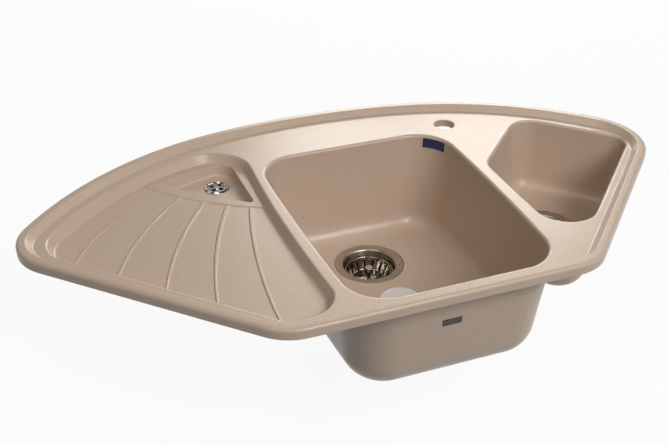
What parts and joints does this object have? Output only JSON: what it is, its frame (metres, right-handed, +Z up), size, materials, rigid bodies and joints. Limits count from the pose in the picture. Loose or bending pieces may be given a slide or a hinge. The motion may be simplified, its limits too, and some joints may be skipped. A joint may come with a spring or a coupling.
{
  "type": "corner kitchen sink",
  "caption": "Fan-shaped corner kitchen sink in speckled composite, with a deep main bowl, a small side bowl, a ribbed drainer with its own drain and lift-out strainers.",
  "frame": {"origin": "on the worktop plane under the rim, at the middle of the width between the two slanted sides and at the middle of the depth", "axes": "+X to the right when standing at the straight front edge, +Y to the curved back, +Z up"},
  "size_m": [1.0174, 0.5763, 0.2705],
  "materials": {
    "composite": "satin, finely speckled",
    "polished_steel": "polished",
    "chrome": "bright",
    "screw_steel": "satin",
    "brass": "machined",
    "black_rubber": "matt",
    "white_plastic": "moulded",
    "navy_label": "printed, blank",
    "badge_plate": "satin, blank",
    "sticker_paper": "matt, blank"
  },
  "bodies": {
    "sink": {"sink_moulding": "composite", "bowl_rim_label": "navy_label", "front_badge": "badge_plate", "bowl_floor_sticker": "sticker_paper", "drainer_grille": "chrome", "drainer_grille_screw": "chrome", "drainer_seal": "black_rubber", "drainer_elbow": "white_plastic", "drainer_bridge": "brass", "main_waste_flange": "polished_steel", "main_flange_seal": "black_rubber", "main_waste_gasket": "black_rubber", "main_waste_body": "white_plastic", "main_clamp_screw": "screw_steel", "main_clamp_nut": "brass", "small_waste_flange": "polished_steel", "small_flange_seal": "black_rubber", "small_waste_gasket": "black_rubber", "small_waste_body": "white_plastic", "small_clamp_screw": "screw_steel", "small_clamp_nut": "brass"},
    "main_strainer": {"main_basket": "polished_steel", "main_basket_stopper": "black_rubber", "main_basket_knob": "polished_steel"},
    "small_strainer": {"small_basket": "polished_steel", "small_basket_stopper": "black_rubber", "small_basket_knob": "polished_steel"}
  },
  "joints": [
    {"name": "main_strainer_lift", "type": "slide", "parent": "sink", "child": "main_strainer", "axis": [0, 0, 1], "range_m": [0, 0.25]},
    {"name": "small_strainer_lift", "type": "slide", "parent": "sink", "child": "small_strainer", "axis": [0, 0, 1], "range_m": [0, 0.2]}
  ]
}
